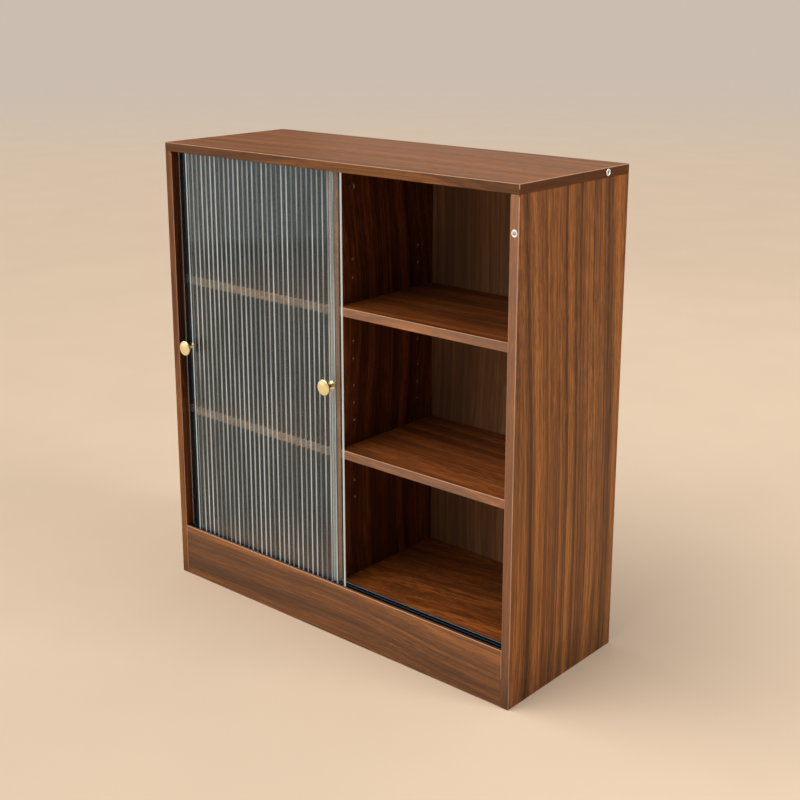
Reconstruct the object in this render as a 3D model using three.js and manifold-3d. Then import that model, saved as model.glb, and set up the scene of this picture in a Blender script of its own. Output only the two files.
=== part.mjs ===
// Bookcase with a middle divider, four adjustable shelves and two fluted glass doors that slide past
// each other in twin-channel runners.
// Millimetres, +Z up, the front faces -Y. The group's origin is at the middle of the base of the whole
// object, knobs included. Inside the group x counts from the middle of the case, y from the case's front
// face towards the back, and z from the floor.

import * as THREE from "three";
import { ConvexGeometry } from "three/addons/geometries/ConvexGeometry.js";
import { mergeVertices } from "three/addons/utils/BufferGeometryUtils.js";
import Module from "manifold-3d";

// Case
const caseWidth = 800;
const caseDepth = 300;
const caseHeight = 850;
const board = 16;
const arris = 0.8;

// Plinth, base rail and backs
const plinthHeight = 100;
const plinthSetback = 0.5;
const plinthLip = 4.5;
const railSetback = 20;
const backThickness = 3;
const backRecess = 19;
const grooveDepth = 5;
const grooveFit = 0.2;
const backEdgeGap = 0.5;

// Divider and shelves
const dividerSetback = 25;
const shelfSetback = 26;
const shelfSideGap = 1;
const shelfRearGap = 2;
const lowerShelfTop = 344.5;
const upperShelfTop = 600.5;

// Shelf pins and their rows of holes
const pinRadius = 2.5;
const pinWeb = 1.2;
const pinEndGap = 0.4;
const pinFit = 0.05;
const pinCollarRadius = 4;
const pinCollarThickness = 0.8;
const pinReach = 8;
const pinEase = 0.4;
const columnInset = 64;
const holePitch = 32;
const holesBelowGap = 50;
const holesAboveGap = 62;
const holesBelow = 2;
const holesAboveLower = 3;
const holesAboveUpper = 2;

// Runners for the doors
const trackGap = 0.2;
const trackWall = 1.6;
const channelWidth = 6.4;
const lowerTrackHeight = 5;
const lowerTrackFloor = 1.2;
const upperTrackHeight = 9;
const upperTrackRoof = 1;

// Door panes
const glassThickness = 5;
const doorOverlap = 8;
const doorParting = 29;
const glassLift = 0.3;
const glassEngagement = 3.5;
const fluteCount = 32;
const fluteDepth = 1;

// Knobs
const knobHeight = 466;
const knobInset = 23;
const knobStandout = 24;
const knobHeadRadius = 14.2;
const knobRimHeight = 1.6;
const knobRimEase = 0.6;
const knobDomeHeight = 3.2;
const knobNeckRadius = 3.5;
const knobPassGap = 1.5;
const knobThreadRadius = 2.05;
const knobThreadDepth = 9.8;
const roseRadius = 7.5;
const roseCrownRadius = 4.6;
const roseThickness = 2.2;
const roseLand = 0.8;

// Knob screws
const screwRadius = 1.95;
const screwHoleRadius = 2.6;
const screwEndGap = 1;
const screwHeadRadius = 5;
const screwHeadThickness = 2.4;
const screwHeadLand = 1;
const screwCrownRadius = 3.2;

// Cam locks and their bolts
const camRadius = 7.4;
const camFit = 0.1;
const camWeb = 3.3;
const camSink = 0.3;
const camEase = 0.5;
const camDrop = 34;
const camRearInset = 90;
const camSlotLength = 8;
const camSlotWidth = 1.6;
const camSlotDepth = 2.5;
const camPocketFit = 0.4;
const boltRadius = 3.4;
const boltBoreFit = 0.3;
const boltHeadDrop = 2;
const boltHeadHeight = 3.5;
const boltNeckRadius = 2.2;
const boltNeckLength = 3.5;
const boltThreadRadius = 2.5;
const boltTopWeb = 4.7;
const boltEndGap = 0.3;

// Dowels
const dowelRadius = 4;
const dowelFit = 0.1;
const dowelEase = 1;
const dowelShortEnd = 10;
const dowelLongEnd = 20;
const dowelEndGap = 0.5;

// Edge inserts
const insertRadius = 6;
const insertFit = 0.25;
const insertDepth = 13;
const insertEase = 0.6;
const insertHexFlat = 5.5;
const insertHexDepth = 8;
const sideInsertDrop = 58;
const topInsertInset = 61.5;

// Fineness of round forms, and how far a cutter runs past the face that it opens
const knobSides = 28;
const roundSides = 16;
const hiddenSides = 10;
const pinSides = 8;
const hexSides = 6;
const knobSteps = 3;
const fluteSteps = 2;
const overrun = 1;

// Places that follow from the sizes
const half = caseWidth / 2;
const inner = half - board;
const opening = 2 * inner;
const underTop = caseHeight - board;
const bottomTop = plinthHeight - lowerTrackHeight;
const bottomUnder = bottomTop - board;
const lipBack = plinthSetback + plinthLip;
const dividerHalf = board / 2;
const backFront = caseDepth - backRecess - backThickness;
const frontColumn = columnInset;
const rearColumn = caseDepth - columnInset;
const camRear = caseDepth - camRearInset;
const camHeight = underTop - camDrop;
const pinDepth = (board - pinWeb) / 2;
const lowerPinRow = lowerShelfTop - board - pinRadius;
const upperPinRow = upperShelfTop - board - pinRadius;
const trackFront = lipBack + trackGap;
const channelPitch = trackWall + channelWidth;
const trackWidth = 2 * channelPitch + trackWall;
const glassWidth = (opening + doorOverlap) / 2;
const glassBottom = bottomTop + lowerTrackFloor + glassLift;
const glassTop = underTop + glassEngagement;
const glassInset = trackWall + (channelWidth - glassThickness) / 2;
const rightGlassFront = trackFront + glassInset;
const leftGlassFront = rightGlassFront + channelPitch;
const knobReach = knobStandout - rightGlassFront;

// Directions
const RIGHT = new THREE.Vector3(1, 0, 0);
const LEFT = new THREE.Vector3(-1, 0, 0);
const BACK = new THREE.Vector3(0, 1, 0);
const FRONT = new THREE.Vector3(0, -1, 0);
const UP = new THREE.Vector3(0, 0, 1);
const DOWN = new THREE.Vector3(0, 0, -1);

// Materials
const walnut = new THREE.MeshStandardMaterial({ color: 0x6e4129, roughness: 0.5, metalness: 0 });
const glass = new THREE.MeshStandardMaterial({
  color: 0xcfdedb,
  roughness: 0.08,
  metalness: 0,
  transparent: true,
  opacity: 0.35,
});
const brass = new THREE.MeshStandardMaterial({ color: 0xcfa75c, roughness: 0.28, metalness: 1 });
const trackBlack = new THREE.MeshStandardMaterial({ color: 0x14171a, roughness: 0.4, metalness: 0 });
const zinc = new THREE.MeshStandardMaterial({ color: 0xc4c8cc, roughness: 0.35, metalness: 1 });
const beech = new THREE.MeshStandardMaterial({ color: 0xd6b88a, roughness: 0.7, metalness: 0 });

const wasm = await Module();
wasm.setup();

// A closed three.js geometry as a solid that can be joined and cut.
function solid(geometry) {
  const bare = geometry.clone();
  bare.deleteAttribute("normal");
  bare.deleteAttribute("uv");
  const merged = mergeVertices(bare);
  const corners = merged.index.array;
  const kept = [];
  for (let i = 0; i < corners.length; i += 3) {
    const [a, b, c] = corners.slice(i, i + 3);
    if (a !== b && b !== c && c !== a) kept.push(a, b, c);
  }
  return new wasm.Manifold(
    new wasm.Mesh({
      numProp: 3,
      vertProperties: merged.attributes.position.array,
      triVerts: new Uint32Array(kept),
    }),
  );
}

// A solid back as a three.js geometry.
function surface(body) {
  const mesh = body.getMesh();
  const geometry = new THREE.BufferGeometry();
  geometry.setAttribute("position", new THREE.BufferAttribute(mesh.vertProperties, 3));
  geometry.setIndex(new THREE.BufferAttribute(mesh.triVerts, 1));
  const flat = geometry.toNonIndexed();
  flat.computeVertexNormals();
  return flat;
}

function cut(body, cutters) {
  return cutters.reduce((left, cutter) => left.subtract(cutter), body);
}

// A plain block between two limits on each axis.
function block([x0, x1], [y0, y1], [z0, z1]) {
  const geometry = new THREE.BoxGeometry(x1 - x0, y1 - y0, z1 - z0);
  return solid(geometry.translate((x0 + x1) / 2, (y0 + y1) / 2, (z0 + z1) / 2));
}

// A board between two limits on each axis, with every long edge eased by the arris.
function easedBoard(xs, ys, zs) {
  const points = [];
  for (const i of [0, 1]) {
    for (const j of [0, 1]) {
      for (const k of [0, 1]) {
        const corner = new THREE.Vector3(xs[i], ys[j], zs[k]);
        const inward = new THREE.Vector3(1 - 2 * i, 1 - 2 * j, 1 - 2 * k).multiplyScalar(arris);
        points.push(corner.clone().add(inward.clone().setX(0)));
        points.push(corner.clone().add(inward.clone().setY(0)));
        points.push(corner.clone().add(inward.clone().setZ(0)));
      }
    }
  }
  return solid(new ConvexGeometry(points));
}

// A turned form about +Y. Radii are measured across the flats of its sides.
function turned(profile, sides) {
  const widen = 1 / Math.cos(Math.PI / sides);
  const points = profile.map(([radius, height]) => new THREE.Vector2(radius * widen, height));
  return new THREE.LatheGeometry(points, sides).rotateY(Math.PI / sides);
}

// A geometry made about +Y, turned to point along a direction and moved to its place.
function aimed(geometry, at, direction) {
  const turn = new THREE.Quaternion().setFromUnitVectors(BACK, direction);
  return geometry.clone().applyQuaternion(turn).translate(at.x, at.y, at.z);
}

// A round cutter that opens at a face and goes into the material along a direction.
function bore(at, direction, radius, depth, sides) {
  const profile = [
    [0, -overrun],
    [radius, -overrun],
    [radius, depth],
    [0, depth],
  ];
  return solid(aimed(turned(profile, sides), at, direction));
}

function place(x, y, z) {
  return new THREE.Vector3(x, y, z);
}

const bookcase = new THREE.Group();
const carcass = new THREE.Group();
const leftDoor = new THREE.Group();
const rightDoor = new THREE.Group();
bookcase.add(carcass, leftDoor, rightDoor);
bookcase.position.y = -(caseDepth - knobReach) / 2;

// Adds a solid to a group as a named mesh. Its geometry is already in place unless a place is given.
function addPiece(group, name, body, material, at = place(0, 0, 0), direction = BACK) {
  const mesh = new THREE.Mesh(surface(body), material);
  mesh.name = name;
  mesh.position.copy(at);
  mesh.quaternion.setFromUnitVectors(BACK, direction);
  group.add(mesh);
  return mesh;
}

// Heights of all holes in one column of shelf-pin holes.
function holeRows() {
  const rows = [lowerPinRow, upperPinRow];
  for (const row of [lowerPinRow, upperPinRow]) {
    for (let i = 0; i < holesBelow; i++) rows.push(row - holesBelowGap - i * holePitch);
  }
  for (let i = 0; i < holesAboveLower; i++) rows.push(lowerPinRow + holesAboveGap + i * holePitch);
  for (let i = 0; i < holesAboveUpper; i++) rows.push(upperPinRow + holesAboveGap + i * holePitch);
  return rows;
}

// Both columns of shelf-pin holes in one face of an upright.
function pinHoles(faceX, into) {
  const cutters = [];
  for (const y of [frontColumn, rearColumn]) {
    for (const z of holeRows()) {
      cutters.push(bore(place(faceX, y, z), into, pinRadius + pinFit, pinDepth, pinSides));
    }
  }
  return cutters;
}

// Bores for one cam lock and its bolt at the upper end of an upright. The cam goes in from faceX.
function camBores(faceX, into, y) {
  const middle = faceX + into.x * dividerHalf;
  const mouth = place(faceX, y, camHeight);
  return [
    bore(mouth, into, camRadius + camFit, board - camWeb, roundSides),
    bore(place(middle, y, underTop), DOWN, boltRadius + boltBoreFit, camDrop, hiddenSides),
  ];
}

// The groove that takes one edge of a back, cut into a face that looks along x.
function uprightGroove(faceX, into) {
  const xs = [faceX - into.x * overrun, faceX + into.x * grooveDepth].sort((a, b) => a - b);
  const ys = [backFront - grooveFit, backFront + backThickness + grooveFit];
  return block(xs, ys, [bottomTop - grooveDepth, underTop + overrun]);
}

// Where each upright takes its cams and pins: the face, the way into the board, and the shelf side.
const leftFace = { name: "left_side", x: -inner, into: LEFT };
const dividerLeftFace = { name: "divider_left", x: -dividerHalf, into: RIGHT };
const dividerRightFace = { name: "divider", x: dividerHalf, into: LEFT };
const rightFace = { name: "right_side", x: inner, into: RIGHT };
const camFaces = [leftFace, dividerRightFace, rightFace];
const camColumns = { front: frontColumn, rear: camRear };
const dowelColumns = { front: frontColumn, rear: rearColumn };

// Dowels lie in the end of the bottom board, and stand in the bottom end of the divider.
const dowelSeats = [];
for (const [column, y] of Object.entries(dowelColumns)) {
  const middle = bottomTop - board / 2;
  dowelSeats.push({ name: `left_${column}_dowel`, at: place(-inner, y, middle), into: LEFT });
  dowelSeats.push({ name: `right_${column}_dowel`, at: place(inner, y, middle), into: RIGHT });
  dowelSeats.push({ name: `divider_${column}_dowel`, at: place(0, y, bottomTop), into: DOWN });
}

function dowelBore({ at, into }, reach, direction) {
  const way = into.clone().multiplyScalar(direction);
  return bore(at, way, dowelRadius + dowelFit, reach + dowelEndGap, hiddenSides);
}

function sideDowelBores(into) {
  return dowelSeats.filter((seat) => seat.into === into).map((seat) => dowelBore(seat, dowelShortEnd, 1));
}

// The bottom board takes the long end of the side dowels and the short end of the divider's.
function bottomDowelBores() {
  return dowelSeats.map((seat) =>
    seat.into.z < 0 ? dowelBore(seat, dowelShortEnd, 1) : dowelBore(seat, dowelLongEnd, -1),
  );
}

function dividerDowelBores() {
  return dowelSeats.filter((seat) => seat.into.z < 0).map((seat) => dowelBore(seat, dowelLongEnd, -1));
}

function insertBore(at, into) {
  return bore(at, into, insertRadius + insertFit, insertDepth, roundSides);
}

const sideInsertAt = place(half - board / 2, 0, underTop - sideInsertDrop);
const topInsertAt = place(half, caseDepth - topInsertInset, caseHeight - board / 2);

function sidePanel(face) {
  const outer = Math.sign(face.x) * half;
  const xs = [face.x, outer].sort((a, b) => a - b);
  const plain = easedBoard(xs, [0, caseDepth], [0, underTop]);
  const cams = Object.values(camColumns).flatMap((y) => camBores(face.x, face.into, y));
  const cutters = [...pinHoles(face.x, face.into), ...cams, uprightGroove(face.x, face.into)];
  cutters.push(...sideDowelBores(face.into));
  if (face === rightFace) cutters.push(insertBore(sideInsertAt, BACK));
  return cut(plain, cutters);
}

function dividerPanel() {
  const plain = easedBoard([-dividerHalf, dividerHalf], [dividerSetback, caseDepth], [bottomTop, underTop]);
  const cams = Object.values(camColumns).flatMap((y) =>
    camBores(dividerRightFace.x, dividerRightFace.into, y),
  );
  const grooves = [dividerLeftFace, dividerRightFace].map((face) => uprightGroove(face.x, face.into));
  const holes = [dividerLeftFace, dividerRightFace].flatMap((face) => pinHoles(face.x, face.into));
  return cut(plain, [...holes, ...cams, ...grooves, ...dividerDowelBores()]);
}

// Grooves for both backs, cut from a horizontal face at height z into the board.
function backGrooves(z, into) {
  const zs = [z - into * overrun, z + into * grooveDepth].sort((a, b) => a - b);
  const ys = [backFront - grooveFit, backFront + backThickness + grooveFit];
  const reach = inner + grooveDepth;
  const near = dividerHalf - grooveDepth;
  return [block([-reach, -near], ys, zs), block([near, reach], ys, zs)];
}

function topPanel() {
  const plain = easedBoard([-half, half], [0, caseDepth], [underTop, caseHeight]);
  const trackYs = [trackFront, trackFront + trackWidth];
  const trackGroove = block([-inner, inner], trackYs, [underTop - overrun, underTop + upperTrackHeight]);
  const threadHoles = camFaces.flatMap((face) =>
    Object.values(camColumns).map((y) => {
      const at = place(face.x + face.into.x * dividerHalf, y, underTop);
      return bore(at, UP, boltThreadRadius + camFit, board - boltTopWeb, hiddenSides);
    }),
  );
  return cut(plain, [trackGroove, ...threadHoles, ...backGrooves(underTop, 1), insertBore(topInsertAt, LEFT)]);
}

function bottomPanel() {
  const plain = easedBoard([-inner, inner], [lipBack, caseDepth], [bottomUnder, bottomTop]);
  return cut(plain, [...bottomDowelBores(), ...backGrooves(bottomTop, -1)]);
}

// The plinth's rebate carries the front edge of the bottom board behind the lip.
function plinthBoard() {
  const plain = easedBoard([-inner, inner], [plinthSetback, plinthSetback + board], [0, plinthHeight]);
  const rebateYs = [lipBack, plinthSetback + board + overrun];
  const rebateZs = [bottomUnder, plinthHeight + overrun];
  return cut(plain, [block([-half, half], rebateYs, rebateZs)]);
}

// The section of a runner with two channels, in y and z, open towards +z or, with flip -1, towards -z.
function trackSection(height, floor, flip) {
  const section = new THREE.Shape();
  section.moveTo(0, 0);
  section.lineTo(0, flip * height);
  for (const i of [0, 1]) {
    const from = trackWall + i * channelPitch;
    const to = from + channelWidth;
    section.lineTo(from, flip * height);
    section.lineTo(from, flip * floor);
    section.lineTo(to, flip * floor);
    section.lineTo(to, flip * height);
  }
  section.lineTo(trackWidth, flip * height);
  section.lineTo(trackWidth, 0);
  section.closePath();
  return section;
}

function track(section, z) {
  const geometry = new THREE.ExtrudeGeometry(section, { depth: opening, bevelEnabled: false });
  geometry.applyMatrix4(new THREE.Matrix4().makeBasis(BACK, UP, RIGHT));
  return solid(geometry.translate(-inner, trackFront, z));
}

// The fluted pane: convex arcs side by side on its front, flat at the back. Its own x runs from the
// pane's left edge and its own y from the crests of the flutes.
function paneSection() {
  const pitch = glassWidth / fluteCount;
  const radius = (pitch * pitch) / (8 * fluteDepth) + fluteDepth / 2;
  const spread = Math.asin(pitch / (2 * radius));
  const section = new THREE.Shape();
  section.moveTo(0, glassThickness);
  section.lineTo(0, fluteDepth);
  for (let i = 0; i < fluteCount; i++) {
    const centre = (i + 1 / 2) * pitch;
    section.absarc(centre, radius, radius, -Math.PI / 2 - spread, -Math.PI / 2 + spread, false);
  }
  section.lineTo(glassWidth, glassThickness);
  section.closePath();
  return section;
}

function pane(knobX) {
  const geometry = new THREE.ExtrudeGeometry(paneSection(), {
    depth: glassTop - glassBottom,
    bevelEnabled: false,
    curveSegments: fluteSteps,
  });
  const holeAt = place(knobX, 0, knobHeight - glassBottom);
  const hole = bore(holeAt, BACK, screwHoleRadius, glassThickness + overrun, roundSides);
  return cut(solid(geometry), [hole]);
}

// The knob is turned about +Y from the pane's face outwards, over the rose, with a threaded hole.
function knobBody() {
  const neckEnd = channelPitch + knobPassGap;
  const rimFront = knobStandout - knobDomeHeight;
  const headBack = rimFront - knobRimHeight;
  const threadEnd = roseThickness + knobThreadDepth;
  const outline = new THREE.Path();
  outline.moveTo(0, threadEnd);
  outline.lineTo(knobThreadRadius, threadEnd);
  outline.lineTo(knobThreadRadius, roseThickness);
  outline.lineTo(knobNeckRadius, roseThickness);
  outline.lineTo(knobNeckRadius, neckEnd);
  outline.quadraticCurveTo(knobNeckRadius, headBack, knobHeadRadius - knobRimEase, headBack);
  outline.lineTo(knobHeadRadius, headBack + knobRimEase);
  outline.lineTo(knobHeadRadius, rimFront);
  outline.absellipse(0, rimFront, knobHeadRadius, knobDomeHeight, 0, Math.PI / 2, false);
  const profile = outline.getPoints(knobSteps).map((point) => [Math.max(point.x, 0), point.y]);
  return solid(turned(profile, knobSides));
}

function roseBody() {
  const profile = [
    [screwHoleRadius, 0],
    [roseRadius, 0],
    [roseRadius, roseLand],
    [roseCrownRadius, roseThickness],
    [screwHoleRadius, roseThickness],
    [screwHoleRadius, 0],
  ];
  return solid(turned(profile, knobSides));
}

// The screw is turned about +Y from behind its head, through pane and rose, into the knob.
function screwBody() {
  const seat = -glassThickness;
  const tip = roseThickness + knobThreadDepth - screwEndGap;
  const profile = [
    [0, seat - screwHeadThickness],
    [screwCrownRadius, seat - screwHeadThickness],
    [screwHeadRadius, seat - screwHeadLand],
    [screwHeadRadius, seat],
    [screwRadius, seat],
    [screwRadius, tip],
    [0, tip],
  ];
  return solid(turned(profile, roundSides));
}

function addDoor(group, side, glassFront, knobX) {
  const seat = place(knobX, glassFront, knobHeight);
  addPiece(group, `${side}_door_glass`, pane(knobX), glass, place(0, glassFront, glassBottom));
  addPiece(group, `${side}_knob`, knobBody(), brass, seat, FRONT);
  addPiece(group, `${side}_knob_rose`, roseBody(), brass, seat, FRONT);
  addPiece(group, `${side}_knob_screw`, screwBody(), zinc, seat, FRONT);
}

// A cam lock lies along +Y from the floor of its bore to its face, with a pocket for the bolt's head
// that opens towards +Z, and a crossed slot in its face.
function camBody() {
  const length = board - camWeb - camSink;
  const profile = [
    [0, 0],
    [camRadius, 0],
    [camRadius, length - camEase],
    [camRadius - camEase, length],
    [0, length],
  ];
  const toBolt = board - camWeb - dividerHalf;
  const pocketRadius = boltRadius + camPocketFit;
  const pocketFoot = place(0, toBolt, camRadius);
  const pocketDepth = camRadius + boltHeadDrop + camPocketFit;
  const pocket = bore(pocketFoot, DOWN, pocketRadius, pocketDepth, hiddenSides);
  const armYs = [length - camSlotDepth, length + overrun];
  const across = [-camSlotLength / 2, camSlotLength / 2];
  const narrow = [-camSlotWidth / 2, camSlotWidth / 2];
  const slots = [block(across, armYs, narrow), block(narrow, armYs, across)];
  return cut(solid(turned(profile, roundSides)), [pocket, ...slots]);
}

// A bolt is turned about +Y from its head in the cam up to the tip of its thread in the top.
function boltBody() {
  const headTop = boltHeadHeight - boltHeadDrop;
  const neckTop = headTop + boltNeckLength;
  const tip = camDrop + board - boltTopWeb - boltEndGap;
  const profile = [
    [0, -boltHeadDrop],
    [boltRadius, -boltHeadDrop],
    [boltRadius, headTop],
    [boltNeckRadius, headTop],
    [boltNeckRadius, neckTop],
    [boltRadius, neckTop],
    [boltRadius, camDrop],
    [boltThreadRadius, camDrop],
    [boltThreadRadius, tip],
    [0, tip],
  ];
  return solid(turned(profile, hiddenSides));
}

// A dowel is turned about +Y, with the joint between its boards at zero.
function dowelBody() {
  const profile = [
    [0, -dowelLongEnd],
    [dowelRadius - dowelEase, -dowelLongEnd],
    [dowelRadius, dowelEase - dowelLongEnd],
    [dowelRadius, dowelShortEnd - dowelEase],
    [dowelRadius - dowelEase, dowelShortEnd],
    [0, dowelShortEnd],
  ];
  return solid(turned(profile, hiddenSides));
}

// A shelf pin is turned about +Y from its end in the board, past its collar, to the end under the shelf.
function pinBody() {
  const profile = [
    [0, pinEndGap - pinDepth],
    [pinRadius, pinEndGap - pinDepth],
    [pinRadius, 0],
    [pinCollarRadius, 0],
    [pinCollarRadius, pinCollarThickness],
    [pinRadius, pinCollarThickness],
    [pinRadius, pinReach - pinEase],
    [pinRadius - pinEase, pinReach],
    [0, pinReach],
  ];
  return solid(turned(profile, pinSides));
}

// An edge insert is turned about +Y from the floor of its bore to its face, with a hexagonal socket.
function insertBody() {
  const profile = [
    [0, 0],
    [insertRadius, 0],
    [insertRadius, insertDepth - insertEase],
    [insertRadius - insertEase, insertDepth],
    [0, insertDepth],
  ];
  const socket = bore(place(0, insertDepth, 0), FRONT, insertHexFlat / 2, insertHexDepth, hexSides);
  return cut(solid(turned(profile, roundSides)), [socket]);
}

// Boards of the carcass
addPiece(carcass, "top_panel", topPanel(), walnut);
addPiece(carcass, "left_side_panel", sidePanel(leftFace), walnut);
addPiece(carcass, "right_side_panel", sidePanel(rightFace), walnut);
addPiece(carcass, "divider_panel", dividerPanel(), walnut);
addPiece(carcass, "bottom_panel", bottomPanel(), walnut);
addPiece(carcass, "plinth", plinthBoard(), walnut);
const railYs = [caseDepth - railSetback - board, caseDepth - railSetback];
addPiece(carcass, "rear_base_rail", easedBoard([-inner, inner], railYs, [0, bottomUnder]), walnut);

// Backs, shelves and shelf pins of the two columns
const columns = {
  left: { from: leftFace, to: dividerLeftFace },
  right: { from: dividerRightFace, to: rightFace },
};
const shelves = { lower: lowerShelfTop, upper: upperShelfTop };
for (const [side, { from, to }] of Object.entries(columns)) {
  const tuck = grooveDepth - backEdgeGap;
  const backXs = [from.x - tuck, to.x + tuck];
  const backYs = [backFront, backFront + backThickness];
  const backZs = [bottomTop - tuck, underTop + tuck];
  addPiece(carcass, `${side}_back_panel`, block(backXs, backYs, backZs), walnut);
  for (const [level, top] of Object.entries(shelves)) {
    const shelfXs = [from.x + shelfSideGap, to.x - shelfSideGap];
    const shelfYs = [shelfSetback, backFront - shelfRearGap];
    addPiece(carcass, `${level}_${side}_shelf`, easedBoard(shelfXs, shelfYs, [top - board, top]), walnut);
    for (const face of [from, to]) {
      const out = face.into.clone().negate();
      for (const [column, y] of Object.entries(dowelColumns)) {
        const end = face === from ? "left" : "right";
        const name = `${level}_${side}_shelf_pin_${column}_${end}`;
        addPiece(carcass, name, pinBody(), zinc, place(face.x, y, top - board - pinRadius), out);
      }
    }
  }
}

// Runners
const lowerSection = trackSection(lowerTrackHeight, lowerTrackFloor, 1);
const upperSection = trackSection(upperTrackHeight, upperTrackRoof, -1);
addPiece(carcass, "lower_track", track(lowerSection, bottomTop), trackBlack);
addPiece(carcass, "upper_track", track(upperSection, underTop + upperTrackHeight), trackBlack);

// Cam locks, bolts, dowels and edge inserts
for (const face of camFaces) {
  for (const [column, y] of Object.entries(camColumns)) {
    const out = face.into.clone().negate();
    const floor = place(face.x + face.into.x * (board - camWeb), y, camHeight);
    const boltAt = place(face.x + face.into.x * dividerHalf, y, camHeight);
    addPiece(carcass, `${face.name}_${column}_cam`, camBody(), zinc, floor, out);
    addPiece(carcass, `${face.name}_${column}_cam_bolt`, boltBody(), zinc, boltAt, UP);
  }
}
for (const { name, at, into } of dowelSeats) addPiece(carcass, name, dowelBody(), beech, at, into);
addPiece(carcass, "side_edge_insert", insertBody(), zinc, sideInsertAt.clone().setY(insertDepth), FRONT);
addPiece(carcass, "top_edge_insert", insertBody(), zinc, topInsertAt.clone().setX(half - insertDepth), RIGHT);

// Doors, the left one in the rear channel and the right one in front of it, slid to the left
addDoor(leftDoor, "left", leftGlassFront, knobInset);
addDoor(rightDoor, "right", rightGlassFront, glassWidth - knobInset);
leftDoor.position.x = -inner;
rightDoor.position.x = doorParting - inner;

export default bookcase;
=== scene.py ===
import math

import bmesh
import bpy
from mathutils import Euler, Matrix, Vector
from mathutils.geometry import interpolate_bezier


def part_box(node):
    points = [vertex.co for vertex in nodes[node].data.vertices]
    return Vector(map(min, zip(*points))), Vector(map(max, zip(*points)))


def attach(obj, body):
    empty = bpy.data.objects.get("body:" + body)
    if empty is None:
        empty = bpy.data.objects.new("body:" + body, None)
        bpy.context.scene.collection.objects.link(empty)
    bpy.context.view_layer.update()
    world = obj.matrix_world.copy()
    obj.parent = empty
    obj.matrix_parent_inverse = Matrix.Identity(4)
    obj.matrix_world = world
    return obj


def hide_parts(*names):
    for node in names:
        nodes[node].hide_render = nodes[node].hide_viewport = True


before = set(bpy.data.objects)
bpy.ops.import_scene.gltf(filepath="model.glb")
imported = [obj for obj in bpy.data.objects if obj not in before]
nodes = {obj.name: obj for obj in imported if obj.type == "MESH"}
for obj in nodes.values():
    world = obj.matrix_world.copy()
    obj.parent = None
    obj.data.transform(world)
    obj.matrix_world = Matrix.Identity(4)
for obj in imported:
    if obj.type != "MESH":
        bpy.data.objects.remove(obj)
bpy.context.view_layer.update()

scene = bpy.context.scene
scene.view_settings.view_transform = "Standard"

FULL_TURN = 2 * math.pi
QUARTER_TURN = math.pi / 2

# Fluted panes: how deep a flute's shoulder and valley begin is a share of its depth
FLUTES = 31
FLUTE_DEPTH = 0.001
FLUTE_STEPS = 14
LAND_LEFT = 0.0077
LAND_RIGHT = 0.0044
SHOULDER_DEPTH = 0.60
VALLEY_DEPTH = 0.80
PANE_EASE = 0.0005
GROUND_WIDTH = 0.001
SCREW_HOLE = 0.0026

# Runners: from one wall to the next
TRACK_PITCH = 0.008

# Knobs, their roses and screws: radii, and heights from the pane's face
ROSE = 0.0075
ROSE_CROWN = 0.0046
ROSE_FRONT = 0.0022
KNOB_HEAD = 0.0142
KNOB_NECK = 0.0039
NECK_END = 0.0095
KNOB_BACK = 0.0190
KNOB_RIM = 0.0202
KNOB_FRONT = 0.024
KNOB_EASE = 0.0006
KNOB_BEVEL = 0.0013
THREAD = 0.00205
THREAD_END = ROSE_FRONT + 0.0098
SHANK = 0.00195
SHANK_END = 0.0108
SCREW_HEAD = 0.005
SCREW_HEAD_HEIGHT = 0.0024


# ---------------------------------------------------------------- camera

AZIMUTH = math.radians(40.99)
ELEVATION = math.radians(14.29)
CAMERA_PLACE = (1.5105, -1.68365, 1.1292)
SHIFT = -0.10
SENSOR_WIDTH = 36
FOCAL_PIXELS = 1316.7
FRAME_PIXELS = 800

camera_data = bpy.data.cameras.new("camera")
camera_data.sensor_width = SENSOR_WIDTH
camera_data.lens = FOCAL_PIXELS / FRAME_PIXELS * SENSOR_WIDTH
camera_data.shift_y = SHIFT
camera = bpy.data.objects.new("camera", camera_data)
scene.collection.objects.link(camera)
camera.location = CAMERA_PLACE
looking = Vector((
    -math.sin(AZIMUTH) * math.cos(ELEVATION),
    math.cos(AZIMUTH) * math.cos(ELEVATION),
    -math.sin(ELEVATION),
))
camera.rotation_euler = looking.to_track_quat("-Z", "Y").to_euler()
scene.camera = camera


# ---------------------------------------------------------------- node helpers

def add(tree, kind, inputs=None, **settings):
    """Adds a node, sets its properties, and fills or links its inputs."""
    made = tree.nodes.new(kind)
    for name, value in settings.items():
        setattr(made, name, value)
    for socket, value in (inputs or {}).items():
        if isinstance(value, bpy.types.NodeSocket):
            tree.links.new(value, made.inputs[socket])
        else:
            made.inputs[socket].default_value = value
    return made


def maths(tree, operation, *values):
    """A Math node over plain numbers and sockets."""
    return add(tree, "ShaderNodeMath", dict(enumerate(values)), operation=operation).outputs[0]


def vector_maths(tree, operation, *values):
    """A Vector Math node over plain vectors and sockets."""
    return add(tree, "ShaderNodeVectorMath", dict(enumerate(values)), operation=operation).outputs[0]


def noise(tree, place, scale, detail=2, roughness=0.5):
    """A noise over a place that is first stretched by a scale on each axis."""
    stretched = vector_maths(tree, "MULTIPLY", place, scale)
    inputs = {"Vector": stretched, "Scale": 1, "Detail": detail, "Roughness": roughness}
    return add(tree, "ShaderNodeTexNoise", inputs).outputs["Fac"]


def spread(tree, value, low, high, to_low=0, to_high=1, smooth=False):
    """Maps a value between two limits onto two others."""
    kind = "SMOOTHSTEP" if smooth else "LINEAR"
    inputs = {"Value": value, "From Min": low, "From Max": high, "To Min": to_low, "To Max": to_high}
    return add(tree, "ShaderNodeMapRange", inputs, interpolation_type=kind).outputs[0]


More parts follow.
